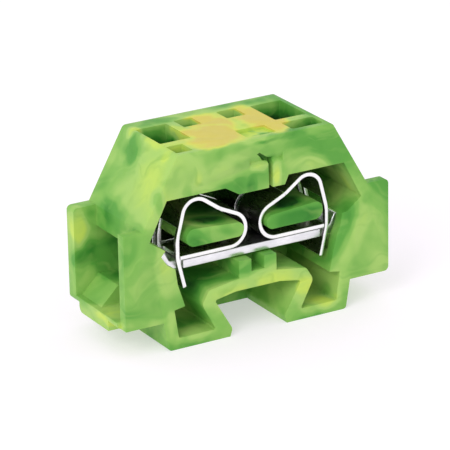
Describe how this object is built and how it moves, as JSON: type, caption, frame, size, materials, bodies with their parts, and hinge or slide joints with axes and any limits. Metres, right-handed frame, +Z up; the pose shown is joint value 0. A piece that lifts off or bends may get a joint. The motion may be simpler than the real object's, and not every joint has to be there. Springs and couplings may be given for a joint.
{
  "type": "din rail terminal block",
  "caption": "Green and yellow moulded terminal block, open on one side, with a current bar, cage-clamp springs, wire entries on both ends and a dovetail notch between its feet.",
  "frame": {"origin": "under the middle of the block, on the plane that its two feet stand on", "axes": "+X along the block towards its right-hand wire entry, +Y through its thickness away from the open side, +Z up"},
  "size_m": [0.028, 0.01, 0.0183],
  "materials": {
    "housing_plastic": "moulded polyamide, marbled green and yellow, satin",
    "tinned_copper": "tin-plated copper, satin",
    "spring_steel": "polished spring steel with bright cut edges"
  },
  "bodies": {
    "root": {"housing": "housing_plastic", "current_bar": "tinned_copper", "spring_seat_front_left": "spring_steel", "spring_seat_front_right": "spring_steel", "spring_seat_rear_left": "spring_steel", "spring_seat_rear_right": "spring_steel"},
    "arm_front_left": {"spring_arm_front_left": "spring_steel"},
    "leg_front_left": {"spring_leg_front_left": "spring_steel"},
    "arm_front_right": {"spring_arm_front_right": "spring_steel"},
    "leg_front_right": {"spring_leg_front_right": "spring_steel"},
    "arm_rear_left": {"spring_arm_rear_left": "spring_steel"},
    "leg_rear_left": {"spring_leg_rear_left": "spring_steel"},
    "arm_rear_right": {"spring_arm_rear_right": "spring_steel"},
    "leg_rear_right": {"spring_leg_rear_right": "spring_steel"}
  },
  "joints": [
    {"name": "press_front_left", "type": "hinge", "parent": "root", "child": "arm_front_left", "pos_m": [-0.00238, -0.0024, 0.00992], "axis": [0, -1, 0], "range_deg": [0, 28], "stiffness_Nm_per_rad": 0.2, "springref_deg": -11.46},
    {"name": "leg_tilt_front_left", "type": "hinge", "parent": "arm_front_left", "child": "leg_front_left", "pos_m": [-0.00578, -0.0024, 0.01375], "axis": [0, -1, 0], "range_deg": [-12.2, 0]},
    {"name": "press_front_right", "type": "hinge", "parent": "root", "child": "arm_front_right", "pos_m": [0.00238, -0.0024, 0.00992], "axis": [0, 1, 0], "range_deg": [0, 28], "stiffness_Nm_per_rad": 0.2, "springref_deg": -11.46},
    {"name": "leg_tilt_front_right", "type": "hinge", "parent": "arm_front_right", "child": "leg_front_right", "pos_m": [0.00578, -0.0024, 0.01375], "axis": [0, 1, 0], "range_deg": [-12.2, 0]},
    {"name": "press_rear_left", "type": "hinge", "parent": "root", "child": "arm_rear_left", "pos_m": [-0.00238, 0.0019, 0.00992], "axis": [0, -1, 0], "range_deg": [0, 28], "stiffness_Nm_per_rad": 0.2, "springref_deg": -11.46},
    {"name": "leg_tilt_rear_left", "type": "hinge", "parent": "arm_rear_left", "child": "leg_rear_left", "pos_m": [-0.00578, 0.0019, 0.01375], "axis": [0, -1, 0], "range_deg": [-12.2, 0]},
    {"name": "press_rear_right", "type": "hinge", "parent": "root", "child": "arm_rear_right", "pos_m": [0.00238, 0.0019, 0.00992], "axis": [0, 1, 0], "range_deg": [0, 28], "stiffness_Nm_per_rad": 0.2, "springref_deg": -11.46},
    {"name": "leg_tilt_rear_right", "type": "hinge", "parent": "arm_rear_right", "child": "leg_rear_right", "pos_m": [0.00578, 0.0019, 0.01375], "axis": [0, 1, 0], "range_deg": [-12.2, 0]}
  ],
  "couplings": [
    {"joint": "leg_tilt_front_left", "follows": "press_front_left", "ratio": -0.43},
    {"joint": "leg_tilt_front_right", "follows": "press_front_right", "ratio": -0.43},
    {"joint": "leg_tilt_rear_left", "follows": "press_rear_left", "ratio": -0.43},
    {"joint": "leg_tilt_rear_right", "follows": "press_rear_right", "ratio": -0.43}
  ]
}
